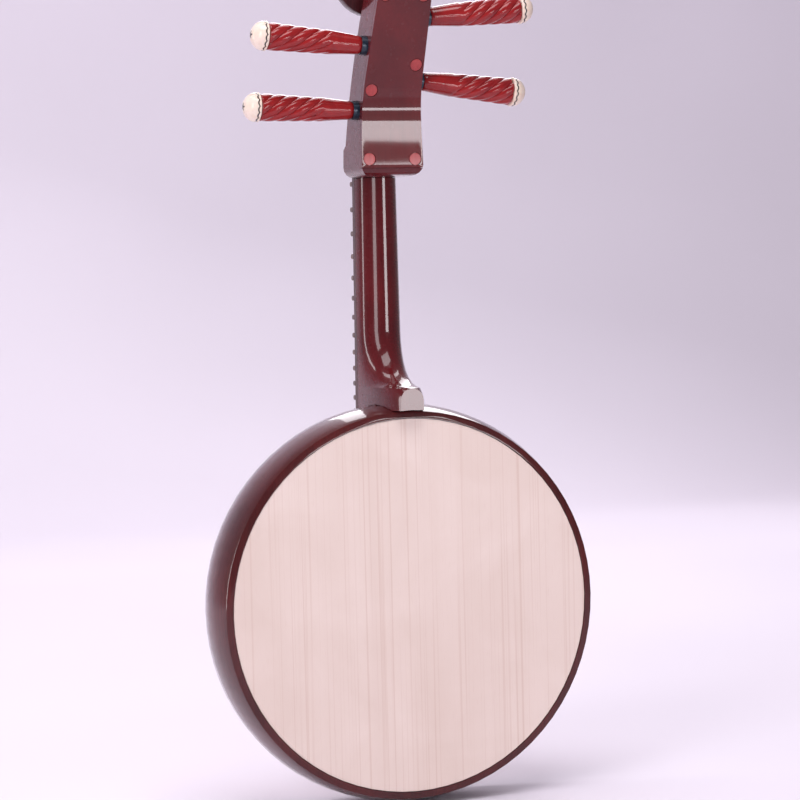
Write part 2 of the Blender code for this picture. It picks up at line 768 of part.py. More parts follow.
def plug_places():
    """Side and height of each of the cover's plugs."""
    return ((1, PLUG_LOW_Z), (-1, PLUG_LOW_Z), (1, PLUG_LEFT_Z),
            (-1, PLUG_RIGHT_Z), (1, PLUG_HIGH_Z), (-1, PLUG_HIGH_Z))


def ornament_outline():
    """Cloud outline of the ornament: two low lobes and a crest, in X and Z."""
    low = LOBE_RADIUS
    valley = asin(LOBE_X / low)
    gap = hypot(LOBE_X, CREST_Z - LOBE_Z)
    toward = asin((CREST_Z - LOBE_Z) / gap)
    open_low = safe_acos((low ** 2 + gap ** 2 - CREST_RADIUS ** 2) / (2 * low * gap))
    open_high = safe_acos((CREST_RADIUS ** 2 + gap ** 2 - low ** 2) / (2 * CREST_RADIUS * gap))
    right = arc((LOBE_X, LOBE_Z), low, -pi / 2 - valley, pi - toward - open_low, 15)
    half_crest = arc((0.0, CREST_Z), CREST_RADIUS, -toward + open_high, pi / 2, 7)[1:]
    half = right + half_crest
    mirrored = [(-x, z) for x, z in reversed(half[1:-1])]
    return half + mirrored


def safe_acos(value):
    """Arc cosine, with the value kept in range."""
    return pi / 2 - asin(max(-1.0, min(1.0, value)))


def make_ornament(shop):
    """The head ornament: a cloud-shaped plate on an arm before the head."""
    mesh = plate_mesh("head_ornament", ornament_outline(), ORNAMENT_THICKNESS)
    plate = shop.piece("head_ornament", mesh, "ornament_wood")
    plate.rotation_euler = (pi / 2, 0.0, 0.0)
    plate.location = (0.0, ORNAMENT_BACK_Y - ORNAMENT_THICKNESS / 2, 0.0)
    bevel(plate, 0.0015, 2)
    half = ORNAMENT_ARM_WIDTH / 2
    low = (-half, ORNAMENT_BACK_Y - ORNAMENT_THICKNESS / 2, ORNAMENT_ARM_LOW_Z)
    high = (half, head_front(ORNAMENT_ARM_LOW_Z) - FIT, ORNAMENT_ARM_HIGH_Z)
    boolean(plate, shop.cutter("join_arm", box_mesh("join_arm", low, high)), "UNION")


# Pegs

def peg_axis(peg):
    """Unit vector along a peg, out of the head."""
    return Vector((peg.side * cos(peg.tilt), 0.0, sin(peg.tilt)))


def peg_base(peg):
    """Point where a peg's axis leaves the cheek."""
    return Vector((peg.side * head_half_width(peg.z), peg.y, peg.z))


def place_on_peg(item, peg):
    """Put an object's local Z on a peg's axis, its origin at the cheek."""
    item.location = peg_base(peg)
    item.rotation_euler = peg_axis(peg).to_track_quat("Z", "Y").to_euler()
    return item


def shaft_end(peg):
    """Local height of the shaft's tip, inside the far cheek."""
    return -(2 * head_half_width(peg.z) - CHEEK + FAR_CHEEK_DEPTH) / cos(peg.tilt)


def shaft_radius(peg, height):
    """Radius of a peg's tapered shaft at a local height."""
    share = height / shaft_end(peg)
    return SHAFT_RADIUS_CHEEK + (SHAFT_RADIUS_TIP - SHAFT_RADIUS_CHEEK) * share


def cut_peg_holes(shop, head, peg):
    """Cut a peg's tapered bore through both cheeks, and the ferrule's seat."""
    end = shaft_end(peg) - PEG_FIT
    outer = FERRULE_LENGTH
    bore = cylinder_mesh("cut_bore", shaft_radius(peg, end) + PEG_FIT, end, outer, PEG_STEPS,
                         shaft_radius(peg, outer) + PEG_FIT)
    boolean(head, place_on_peg(shop.cutter("cut_bore", bore), peg))
    seat = cylinder_mesh("cut_seat", FERRULE_RADIUS + FIT, -FERRULE_SEAT - FIT, outer,
                         PEG_STEPS)
    boolean(head, place_on_peg(shop.cutter("cut_seat", seat), peg))


def peg_ring(height, radius, twist, depth):
    """A ring of a peg: round lobes between sharp valleys, turned by a twist."""
    count = FLUTES * POINTS_PER_FLUTE
    ring = []
    for index in range(count):
        angle = 2 * pi * index / count
        valley = 1 - abs(sin(FLUTES / 2 * angle)) ** 0.8
        r = radius - depth * valley
        ring.append((r * cos(angle + twist), r * sin(angle + twist), height))
    return ring


def peg_rings(peg):
    """Rings of a peg, from the shaft's tip to the end of the handle."""
    start = FERRULE_LENGTH + FIT
    shoulder = start + HANDLE_SMOOTH
    rings = [peg_ring(height, shaft_radius(peg, height), 0.0, 0.0)
             for height in (shaft_end(peg), start)]
    rings.append(peg_ring(start, HANDLE_START_RADIUS, 0.0, 0.0))
    middle = (start + shoulder) / 2
    bow = (HANDLE_START_RADIUS + HANDLE_SHOULDER_RADIUS) / 2
    rings.append(peg_ring(middle, bow, 0.0, 0.0))
    for offset in smooth_interval(0.0, HANDLE_FLUTED, FLUTE_RINGS):
        share = offset / HANDLE_FLUTED
        radius = HANDLE_SHOULDER_RADIUS + (HANDLE_END_RADIUS - HANDLE_SHOULDER_RADIUS) * share
        twist = -2 * pi * offset / FLUTE_PITCH
        depth = FLUTE_DEPTH * min(1.0, offset / FLUTE_RUNOUT)
        rings.append(peg_ring(shoulder + offset, radius, twist, depth))
    return rings


def roller_height(peg, x):
    """Local height on a peg's shaft at a world X."""
    return (peg.side * x - head_half_width(peg.z)) / cos(peg.tilt)


def winding_points(peg):
    """Turns of string on a peg's shaft, from beside the string inwards."""
    pitch = 2 * peg.gauge + WINDING_GAP
    start = roller_height(peg, peg.roller_x) - pitch
    points = []
    for step in range(WINDING_TURNS * WINDING_STEPS + 1):
        angle = 2 * pi * step / WINDING_STEPS
        height = start - pitch * step / WINDING_STEPS
        radius = shaft_radius(peg, height) + peg.gauge / 3
        points.append(Vector((radius * cos(angle), radius * sin(angle), height)))
    return points


def least_gap(points, radius):
    """Least gap of a winding to itself, on points over half a turn apart."""
    apart = WINDING_STEPS // 2
    distances = [(first - second).length
                 for index, first in enumerate(points)
                 for second in points[index + apart:]]
    return min(distances) - 2 * radius


def make_peg(shop, peg):
    """A peg with its fluted handle, cap, winding, and the ferrule at the cheek."""
    name = f"peg_{peg.name}"
    body = shop.piece(name, loft_mesh(name, peg_rings(peg)), "peg_lacquer")
    place_on_peg(smooth(body, radians(50)), peg)
    points = winding_points(peg)
    print(f"{name} winding gap {least_gap(points, peg.gauge) * 1000:.2f} mm")
    winding = shop.cutter("join_winding", tube_mesh("join_winding", points, peg.gauge))
    boolean(body, place_on_peg(winding, peg), "UNION")
    end = FERRULE_LENGTH + FIT + HANDLE_SMOOTH + HANDLE_FLUTED + FIT
    cap = shop.piece(f"peg_cap_{peg.name}", profile_mesh("cap", cap_profile(end), False), "bone")
    place_on_peg(turn(cap, PEG_STEPS), peg)
    mesh = profile_mesh("ferrule", ferrule_profile(peg), True)
    place_on_peg(turn(shop.piece(f"peg_ferrule_{peg.name}", mesh, "ferrule"), PEG_STEPS),
                 peg)


def cap_profile(base):
    """Dome cap of a peg, from its tip down to its flat base."""
    dome = CAP_LENGTH - CAP_BAND
    profile = [(CAP_RADIUS * sin(angle), base + CAP_BAND + dome * cos(angle))
               for angle in smooth_interval(0, pi / 2, 6)]
    return profile + [(CAP_RADIUS, base), (0.0, base)]


def ferrule_profile(peg):
    """Section of a ferrule: a ring let into the cheek round the shaft."""
    low, high = -FERRULE_SEAT, FERRULE_LENGTH
    inner_low = shaft_radius(peg, low) + PEG_FIT
    inner_high = shaft_radius(peg, high) + PEG_FIT
    return [(inner_high, high), (FERRULE_RADIUS, high), (FERRULE_RADIUS, low), (inner_low, low)]


# Bridge, tailpiece and strings

def bridge_z():
    """Middle of the bridge, a scale length below the nut."""
    return NUT_Z - SCALE_LENGTH


def string_speaking(peg):
    """Centre of a string at the bridge and at the nut."""
    last_top = fingerboard_front() - FIT - fret_height(FRET_COUNT)
    last_y = last_top - STRING_ACTION
    slope = (last_y - STRING_NUT_Y) / (fret_z(FRET_COUNT) - NUT_Z)
    bridge_y = STRING_NUT_Y + slope * (bridge_z() - NUT_Z)
    bridge = Vector((peg.nut_x * BRIDGE_SPREAD, bridge_y, bridge_z()))
    return bridge, Vector((peg.nut_x, STRING_NUT_Y, NUT_Z))


def string_tail(peg):
    """Centre of a string where it leaves the tailpiece's far side."""
    z = TAILPIECE_TOP_Z - TAILPIECE_LENGTH
    return Vector((peg.nut_x * BRIDGE_SPREAD, -BODY_DEPTH - TAIL_STRING_HEIGHT, z))


def string_bends(peg):
    """Where a string bends: below the bridge and behind the nut."""
    bridge, nut = string_speaking(peg)
    along = (nut - bridge).normalized()
    return (bridge - along * (BRIDGE_THICKNESS / 2 + STRING_BEND),
            nut + along * (NUT_THICKNESS + STRING_BEND))


def string_contact(peg):
    """Point where a string touches its winding's shaft, in front."""
    height = roller_height(peg, peg.roller_x)
    centre = peg_base(peg) + peg_axis(peg) * height
    reach = shaft_radius(peg, height) + FIT + peg.gauge
    start = string_bends(peg)[1]
    across = Vector((centre.y - start.y, centre.z - start.z))
    run = sqrt(across.length ** 2 - reach ** 2)
    turned = across.normalized()
    turned.rotate(Matrix.Rotation(asin(reach / across.length), 2))
    return Vector((peg.roller_x, start.y + turned.x * run, start.z + turned.y * run))


def make_string(shop, index, peg):
    """One string, whole from its ball behind the tailpiece to its peg."""
    below, above = string_bends(peg)
    tail = string_tail(peg)
    outward = (tail - below).normalized()
    ball = tail + outward * (FIT + BALL_RADIUS)
    name = f"string_{index}"
    points = [ball, below, above, string_contact(peg)]
    item = shop.piece(name, tube_mesh(name, points, peg.gauge), "string_steel")
    shape = bmesh.new()
    bmesh.ops.create_uvsphere(shape, u_segments=10, v_segments=6, radius=BALL_RADIUS)
    end = shop.cutter("join_ball", bmesh_to_mesh("join_ball", shape))
    end.location = ball
    boolean(item, end, "UNION")


def bridge_height():
    """Height of the bridge above the soundboard, over the strings' centres."""
    return -string_speaking(PEGS[0])[0].y - BODY_DEPTH - FIT + NUT_CROWN


def make_bridge(shop):
    """The floating bridge: two feet, an arch, and grooves for the strings."""
    foot, top, height = BRIDGE_FOOT / 2, BRIDGE_TOP / 2, bridge_height()
    outline = [(-foot, 0.0), (-foot, BRIDGE_FOOT_HEIGHT), (-top, height), (top, height),
               (foot, BRIDGE_FOOT_HEIGHT), (foot, 0.0)]
    outline += [(BRIDGE_ARCH / 2 * cos(angle), BRIDGE_ARCH_HEIGHT * sin(angle))
                for angle in smooth_interval(0, pi, 9)]
    bridge = shop.piece("bridge", plate_mesh("bridge", outline, BRIDGE_THICKNESS), "bridge_wood")
    bridge.rotation_euler = (0.0, 0.0, pi)
    bridge.location = (0.0, -BODY_DEPTH - FIT, bridge_z())
    bevel(bridge, 0.0006)
    for peg in PEGS:
        low, nut = string_speaking(peg)
        along = (nut - low).normalized() * BRIDGE_THICKNESS
        notch(shop, bridge, low - along, low + along, peg.gauge + FIT)


def make_tailpiece(shop):
    """The string holder on the soundboard, bored for the strings."""
    top, length = TAILPIECE_HEIGHT, TAILPIECE_LENGTH
    outline = [(0.0, 0.0), (0.0, top - TAILPIECE_CHAMFER), (-TAILPIECE_CHAMFER, top),
               (-length * 0.7, top), (-length, top * 0.6), (-length, 0.0)]
    mesh = plate_mesh("tailpiece", outline, TAILPIECE_WIDTH)
    tail = shop.piece("tailpiece", mesh, "bridge_wood")
    tail.rotation_euler = Matrix(((0, 0, 1), (0, -1, 0), (1, 0, 0))).to_euler()
    tail.location = (0.0, -BODY_DEPTH - FIT, TAILPIECE_TOP_Z)
    bevel(tail, 0.0006)
    for peg in PEGS:
        below = string_bends(peg)[0]
        end = string_tail(peg)
        notch(shop, tail, end + (end - below) * 0.1, below, peg.gauge + FIT)


def build():
    """Model the whole instrument."""
    clear_scene()
    shop = Workshop()
    make_hoop(shop)
    make_boards(shop)
    make_bars(shop)
    make_neck(shop)
    make_fingerboard(shop)
    make_frets(shop)
    make_nut(shop)
    make_headstock(shop)
    make_cover(shop)
    make_ornament(shop)
    for peg in PEGS:
        make_peg(shop, peg)
    make_bridge(shop)
    make_tailpiece(shop)
    for index, peg in enumerate(PEGS, start=1):
        make_string(shop, index, peg)
    bpy.context.view_layer.update()


build()
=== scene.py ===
"""Xiaoruan seen from the back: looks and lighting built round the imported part.

Frame: origin at the centre of the back board's outer face, +Z up the neck, +Y out of
the back. Lengths are in metres.
"""
import json
import logging
from dataclasses import dataclass
from enum import Enum
from functools import lru_cache
from math import cos, pi, radians, sin

import bmesh
import bpy
from mathutils import Matrix, Vector

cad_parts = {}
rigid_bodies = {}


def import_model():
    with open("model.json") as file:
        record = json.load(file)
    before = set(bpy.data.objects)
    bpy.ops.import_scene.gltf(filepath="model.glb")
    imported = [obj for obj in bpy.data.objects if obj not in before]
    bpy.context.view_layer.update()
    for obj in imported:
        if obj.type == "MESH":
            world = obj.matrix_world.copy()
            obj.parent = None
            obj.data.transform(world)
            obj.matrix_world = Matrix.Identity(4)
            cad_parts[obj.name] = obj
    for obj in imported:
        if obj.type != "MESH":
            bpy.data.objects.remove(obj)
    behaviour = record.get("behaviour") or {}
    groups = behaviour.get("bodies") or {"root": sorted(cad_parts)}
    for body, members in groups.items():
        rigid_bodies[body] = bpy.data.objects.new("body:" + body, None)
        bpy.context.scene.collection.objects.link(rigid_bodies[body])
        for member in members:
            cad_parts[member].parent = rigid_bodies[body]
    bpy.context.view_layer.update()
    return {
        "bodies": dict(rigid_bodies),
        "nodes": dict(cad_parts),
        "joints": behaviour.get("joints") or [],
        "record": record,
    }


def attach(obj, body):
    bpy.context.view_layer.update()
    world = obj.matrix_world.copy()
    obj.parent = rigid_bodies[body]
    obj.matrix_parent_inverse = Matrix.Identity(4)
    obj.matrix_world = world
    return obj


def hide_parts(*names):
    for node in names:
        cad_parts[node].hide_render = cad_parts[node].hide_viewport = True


LOG = logging.getLogger("xiaoruan")

Colour = tuple[float, float, float]
Triple = tuple[float, float, float]      # a place, or a factor along each axis
Socket = bpy.types.NodeSocket

INSTRUMENT = "instrument"    # the body that all but the pegs and the bridge ride on
WELD = 0.000001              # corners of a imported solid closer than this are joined
FLAT = radians(0.3)          # neighbouring faces that turn less than this become one
BACKWARD = 0.9999            # Y of the normal from which a face looks straight back
EASE_SEGMENTS = 2            # faces across an eased edge

COLOUR_SHARE = 0             # sockets of a Mix node that mixes colours
COLOUR_FIRST = 6
COLOUR_SECOND = 7
COLOUR_RESULT = 2


# Materials

class Painter:
    """Lays out the nodes of one material."""

    def __init__(self, name: str) -> None:
        """Start a material that has only its shader."""
        self.material = bpy.data.materials.new(name)
        self.material.use_nodes = True
        self.tree = self.material.node_tree
        self.shader = self.tree.nodes["Principled BSDF"]
        self.place = self.tree.nodes.new("ShaderNodeTexCoord").outputs["Object"]

    def set(self, **values: float) -> None:
        """Set shader sockets to constants; underscores in names stand for spaces."""
        for name, value in values.items():
            self.shader.inputs[name.replace("_", " ")].default_value = value

    def join(self, source: Socket, name: str) -> None:
        """Link a socket to one of the shader's inputs."""
        self.tree.links.new(source, self.shader.inputs[name])

    def axes(self) -> tuple[Socket, ...]:
        """Return the object coordinates X, Y and Z one by one."""
        node = self.tree.nodes.new("ShaderNodeSeparateXYZ")
        self.tree.links.new(self.place, node.inputs[0])
        return tuple(node.outputs)

    def stretched(self, scale: Triple, lean: float = 0.0) -> Socket:
        """Return object coordinates, scaled, and leaning round Y.

        Args:
            scale: factor along each axis.
            lean: turn round Y in radians.

        Returns:
            The mapped vector.
        """
        node = self.tree.nodes.new("ShaderNodeMapping")
        self.tree.links.new(self.place, node.inputs["Vector"])
        node.inputs["Rotation"].default_value = (0.0, lean, 0.0)
        node.inputs["Scale"].default_value = scale
        return node.outputs["Vector"]

    def noise(self, vector: Socket, scale: float = 1.0, detail: float = 3.0,
              wander: float = 0.0) -> Socket:
        """Return a noise value.

        Args:
            vector: coordinates.
            scale: noise cells per unit of the coordinates.
            detail: octaves.
            wander: distortion.

        Returns:
            The noise factor.
        """
        node = self.tree.nodes.new("ShaderNodeTexNoise")
        self.tree.links.new(vector, node.inputs["Vector"])
        node.inputs["Scale"].default_value = scale
        node.inputs["Detail"].default_value = detail
        node.inputs["Distortion"].default_value = wander
        return node.outputs["Fac"]

    def number(self, operation: str, first: Socket | float,
               second: Socket | float = 0.0) -> Socket:
        """Return the result of one Math node.

        Args:
            operation: name of the operation.
            first: socket or constant.
            second: socket or constant, left out where the operation takes one.

        Returns:
            The result.
        """
        node = self.tree.nodes.new("ShaderNodeMath")
        node.operation = operation
        for index, value in enumerate((first, second)):
            if isinstance(value, (int, float)):
                node.inputs[index].default_value = value
            else:
                self.tree.links.new(value, node.inputs[index])
        return node.outputs[0]

    def spread(self, value: Socket, low: float, high: float, start: float = 0.0,
               end: float = 1.0) -> Socket:
        """Map a value from one range to another, clamped.

        Args:
            value: the value to map.
            low: value that gives start.
            high: value that gives end.
            start: result at low.
            end: result at high.

        Returns:
            The mapped value.
        """
        node = self.tree.nodes.new("ShaderNodeMapRange")
        self.tree.links.new(value, node.inputs["Value"])
        for name, number in (("From Min", low), ("From Max", high), ("To Min", start),
                             ("To Max", end)):
            node.inputs[name].default_value = number
        return node.outputs["Result"]

    def blend(self, share: Socket, first: Socket | Colour, second: Socket | Colour) -> Socket:
        """Mix two colours.

        Args:
            share: 0 gives the first, 1 the second.
            first: socket or colour.
            second: socket or colour.

        Returns:
            The mixed colour.
        """
        node = self.tree.nodes.new("ShaderNodeMix")
        node.data_type = "RGBA"
        self.tree.links.new(share, node.inputs[COLOUR_SHARE])
        for index, value in ((COLOUR_FIRST, first), (COLOUR_SECOND, second)):
            if isinstance(value, tuple):
                node.inputs[index].default_value = (*value, 1.0)
            else:
                self.tree.links.new(value, node.inputs[index])
        return node.outputs[COLOUR_RESULT]

    def bump(self, height: Socket, distance: float, strength: float) -> None:
        """Raise the surface by a height value.

        Args:
            height: socket that gives the height.
            distance: how far a height of 1 stands out, in metres.
            strength: share of the bump that is used.
        """
        node = self.tree.nodes.new("ShaderNodeBump")
        node.inputs["Strength"].default_value = strength
        node.inputs["Distance"].default_value = distance
        self.tree.links.new(height, node.inputs["Height"])
        self.join(node.outputs["Normal"], "Normal")


def dimmed(colour: Colour, share: float) -> Colour:
    """Return a colour at a share of its brightness."""
    return tuple(part * share for part in colour)


@dataclass(frozen=True)
class Lacquer:
    """Clear coat over coloured wood: cloudy colour, faint grain and ripple."""

    name: str
    deep: Colour
    bright: Colour
    roughness: float
    coat_roughness: float
    grain: float                 # how far the wood's grain darkens the colour
    coat: float = 1.0
    cloud: float = 22.0          # cloudy patches, noise cells per metre
    streaks: Triple = (900.0, 900.0, 25.0)     # the grain, cells per metre on each axis
    wear: float = 160.0          # rougher patches, cells per metre
    ripple: float = 420.0        # ripple of the surface, cells per metre

    def material(self) -> bpy.types.Material:
        """Lay out the nodes of the finish.

        Returns:
            The finish as a material.
        """
        paint = Painter(self.name)
        patches = paint.noise(paint.place, self.cloud, detail=3.0, wander=0.4)
        clouds = paint.spread(patches, low=0.3, high=0.7)
        colour = paint.blend(clouds, self.deep, self.bright)
        streaks = paint.noise(paint.stretched(self.streaks), detail=4.0, wander=0.6)
        shadow = paint.spread(streaks, low=0.42, high=0.68, end=self.grain)
        paint.join(paint.blend(shadow, colour, dimmed(self.deep, 0.35)), "Base Color")
        wear = paint.noise(paint.place, self.wear, detail=5.0)
        rough = paint.spread(wear, low=0.3, high=0.75, start=self.roughness,
                             end=self.roughness + 0.1)
        paint.join(rough, "Roughness")
        paint.set(Coat_Weight=self.coat, Coat_Roughness=self.coat_roughness, Coat_IOR=1.4,
                  Specular_IOR_Level=0.12)
        ripple = paint.noise(paint.place, self.ripple, detail=2.0)
        paint.bump(ripple, distance=0.00001, strength=0.35)
        return paint.material


@dataclass(frozen=True)
class Softwood:
    """Pale, almost bare wood: growth lines along Z, fine pores and soft mottling."""

    name: str
    pale: Colour
    warm: Colour
    line: Colour
    growth: float                # growth lines across the wood, noise cells per metre
    lean: float = radians(-2.2)  # by how much the growth lines lean to one side
    roughness: float = 0.5
    mottle: float = 14.0         # soft mottling, cells per metre

    def along_grain(self, paint: Painter, across: float, along: float) -> Socket:
        """Return coordinates stretched along the leaning grain.

        Args:
            paint: the painter of the material.
            across: noise cells per metre across the grain.
            along: noise cells per metre along it.

        Returns:
            The mapped vector.
        """
        return paint.stretched((across, across, along), self.lean)

    def material(self) -> bpy.types.Material:
        """Lay out the nodes of the finish.

        Returns:
            The finish as a material.
        """
        paint = Painter(self.name)
        mottle = paint.noise(paint.place, self.mottle, detail=5.0, wander=0.8)
        colour = paint.blend(paint.spread(mottle, low=0.3, high=0.7), self.pale, self.warm)
        broad = paint.noise(self.along_grain(paint, 60.0, 1.6), detail=4.0, wander=0.4)
        bands = paint.spread(broad, low=0.45, high=0.75, end=0.6)
        colour = paint.blend(bands, colour, self.warm)
        growth = paint.noise(self.along_grain(paint, self.growth, 2.2), detail=2.0,
                             wander=0.1)
        drawn = paint.spread(growth, low=0.55, high=0.68, end=0.42)
        colour = paint.blend(drawn, colour, self.line)
        pores = paint.noise(self.along_grain(paint, 2600.0, 90.0), detail=2.0)
        flecks = paint.spread(pores, low=0.60, high=0.78, end=0.3)
        paint.join(paint.blend(flecks, colour, self.line), "Base Color")
        rough = paint.spread(broad, low=0.3, high=0.7, start=self.roughness,
                             end=self.roughness + 0.15)
        paint.join(rough, "Roughness")
        paint.set(Coat_Weight=0.12, Coat_Roughness=0.35)
        paint.bump(paint.number("ADD", growth, pores), distance=0.00004, strength=0.3)
        return paint.material


@dataclass(frozen=True)
class Inlay:
    """A dark scalloped line round a peg cap, and a small star at its tip."""

    base: float                  # height of the cap's base on its peg
    colour: Colour = (0.012, 0.006, 0.006)
    line_height: float = 0.0015  # the line's lowest points above the base
    line_half: float = 0.00040   # half the line's width
    line_fade: float = 0.00056   # from its middle to where it has faded out
    scallops: int = 14
    scallop_height: float = 0.0009
    star_radius: float = 0.0021
    star_core: float = 0.85      # share of its radius at which the star starts to fade
    star_low: float = 0.0094     # height above the base from which the star shows
    petals: float = 5.0
    petal_depth: float = 0.42    # how far the petals reach in and out, as a share

    def line(self, paint: Painter, turn: Socket, up: Socket) -> Socket:
        """Return where the scalloped line runs.

        Args:
            paint: the painter of the material.
            turn: angle round the peg's axis.
            up: height on the axis.

        Returns:
            1 on the line and 0 off it.
        """
        swing = paint.number("SINE", paint.number("MULTIPLY", turn, self.scallops / 2))
        wave = paint.number("MULTIPLY", paint.number("ABSOLUTE", swing),
                            self.scallop_height)
        middle = paint.number("ADD", wave, self.base + self.line_height)
        away = paint.number("ABSOLUTE", paint.number("SUBTRACT", up, middle))
        return paint.spread(away, self.line_half, self.line_fade, start=1.0, end=0.0)

    def star(self, paint: Painter, turn: Socket, radius: Socket, up: Socket) -> Socket:
        """Return where the star lies.

        Args:
            paint: the painter of the material.
            turn: angle round the peg's axis.
            radius: distance from the axis.
            up: height on the axis.

        Returns:
            1 on the star and 0 off it.
        """
        swing = paint.number("COSINE", paint.number("MULTIPLY", turn, self.petals))
        reach = paint.number("MULTIPLY", swing, self.star_radius * self.petal_depth)
        edge = paint.number("SUBTRACT", radius, reach)
        star = paint.spread(edge, self.star_radius * self.star_core, self.star_radius,
                            start=1.0, end=0.0)
        high = paint.number("GREATER_THAN", up, self.base + self.star_low)
        return paint.number("MULTIPLY", star, high)

    def dark(self, paint: Painter) -> Socket:
        """Return where the inlay is dark.

        Args:
            paint: the painter of the material.

        Returns:
            1 on the line and on the star, 0 elsewhere.
        """
        east, north, up = paint.axes()
        turn = paint.number("ARCTAN2", north, east)
        squares = [paint.number("MULTIPLY", side, side) for side in (east, north)]
        radius = paint.number("SQRT", paint.number("ADD", *squares))
        return paint.number("MAXIMUM", self.line(paint, turn, up),
                            self.star(paint, turn, radius, up))


@dataclass(frozen=True)
class Bone:
    """Polished bone or horn: cloudy, with fine pores, and an inlay where one is given."""

    name: str
    pale: Colour
    warm: Colour
    roughness: float = 0.3
    inlay: Inlay | None = None

    def material(self) -> bpy.types.Material:
        """Lay out the nodes of the finish.

        Returns:
            The finish as a material.
        """
        paint = Painter(self.name)
        cloud = paint.noise(paint.place, 130.0, detail=4.0, wander=0.7)
        colour = paint.blend(paint.spread(cloud, low=0.32, high=0.7), self.pale, self.warm)
        specks = paint.noise(paint.place, 2400.0, detail=2.0)
        pores = paint.spread(specks, low=0.66, high=0.8, end=0.4)
        colour = paint.blend(pores, colour, dimmed(self.warm, 0.6))
        if self.inlay is not None:
            colour = paint.blend(self.inlay.dark(paint), colour, self.inlay.colour)
        paint.join(colour, "Base Color")
        wear = paint.noise(paint.place, 300.0, detail=4.0)
        rough = paint.spread(wear, low=0.3, high=0.7, start=self.roughness,
                             end=self.roughness + 0.12)
        paint.join(rough, "Roughness")
        paint.set(Coat_Weight=0.35, Coat_Roughness=0.12, Subsurface_Weight=0.08,
                  Subsurface_Scale=0.002)
        paint.bump(pores, distance=0.00002, strength=0.3)
        return paint.material


@dataclass(frozen=True)
class Metal:
    """Drawn or turned metal with fine marks."""

    name: str
    colour: Colour
    dull: Colour
    roughness: float
    metallic: float = 1.0
    marks: Triple = (1500.0, 1500.0, 1500.0)   # noise cells per metre on each axis

    def material(self) -> bpy.types.Material:
        """Lay out the nodes of the finish.

        Returns:
            The finish as a material.
        """
        paint = Painter(self.name)
        stain = paint.noise(paint.place, 90.0, detail=4.0)
        dulled = paint.spread(stain, low=0.35, high=0.7)
        paint.join(paint.blend(dulled, self.colour, self.dull), "Base Color")
        scratch = paint.noise(paint.stretched(self.marks), detail=3.0)
        rough = paint.spread(scratch, low=0.3, high=0.7, start=self.roughness,
                             end=self.roughness + 0.2)
        paint.join(rough, "Roughness")
        paint.set(Metallic=self.metallic, Coat_Weight=0.3, Coat_Roughness=0.1)
        paint.bump(scratch, distance=0.00001, strength=0.25)
        return paint.material


class Finish(Enum):
    """The finishes of the instrument, named as the record's slots."""

    hoop_lacquer = Lacquer(
        "hoop_lacquer_finish", (0.055, 0.007, 0.008), (0.095, 0.012, 0.012),
        roughness=0.28, coat_roughness=0.05, grain=0.4)
    board_wood = Softwood(
        "board_wood_finish", (0.79, 0.66, 0.60), (0.72, 0.585, 0.52), (0.60, 0.42, 0.35),
        growth=560.0)
    bar_wood = Softwood(
        "bar_wood_finish", (0.62, 0.46, 0.31), (0.52, 0.37, 0.24), (0.36, 0.24, 0.15),
        growth=900.0, lean=0.0, roughness=0.65)
    neck_lacquer = Lacquer(
        "neck_lacquer_finish", (0.065, 0.004, 0.006), (0.115, 0.007, 0.010),
        roughness=0.22, coat_roughness=0.03, grain=0.2)
    cover_lacquer = Lacquer(
        "cover_lacquer_finish", (0.085, 0.004, 0.006), (0.13, 0.007, 0.009),
        roughness=0.2, coat_roughness=0.03, grain=0.18)
    fingerboard_wood = Lacquer(
        "fingerboard_wood_finish", (0.045, 0.012, 0.012), (0.075, 0.020, 0.018),
        roughness=0.35, coat_roughness=0.1, grain=0.5, coat=0.6)
    fret_horn = Bone(
        "fret_horn_finish", (0.13, 0.075, 0.06), (0.07, 0.035, 0.03), roughness=0.28)
    bone = Bone("bone_finish", (0.85, 0.74, 0.64), (0.76, 0.60, 0.47))
    bridge_wood = Lacquer(
        "bridge_wood_finish", (0.13, 0.05, 0.03), (0.20, 0.075, 0.04),
        roughness=0.4, coat_roughness=0.2, grain=0.6, coat=0.3)
    ornament_wood = Lacquer(
        "ornament_wood_finish", (0.045, 0.009, 0.011), (0.075, 0.015, 0.018),
        roughness=0.3, coat_roughness=0.08, grain=0.5, coat=0.8)
    peg_lacquer = Lacquer(
        "peg_lacquer_finish", (0.22, 0.008, 0.010), (0.36, 0.016, 0.016),
        roughness=0.2, coat_roughness=0.03, grain=0.15, cloud=60.0)
    plug_lacquer = Lacquer(
        "plug_lacquer_finish", (0.32, 0.035, 0.04), (0.42, 0.055, 0.055),
        roughness=0.3, coat_roughness=0.08, grain=0.2, coat=0.8, cloud=120.0)
    ferrule = Metal(
        "ferrule_finish", (0.016, 0.036, 0.062), (0.010, 0.020, 0.036),
        roughness=0.22, metallic=0.35)
    string_steel = Metal(
        "string_steel_finish", (0.62, 0.60, 0.57), (0.45, 0.43, 0.40),
        roughness=0.28, marks=(9000.0, 9000.0, 900.0))


@lru_cache(maxsize=None)
def material_of(finish: Lacquer | Softwood | Bone | Metal) -> bpy.types.Material:
    """Return the one material of a finish."""
    return finish.material()


# Meshes

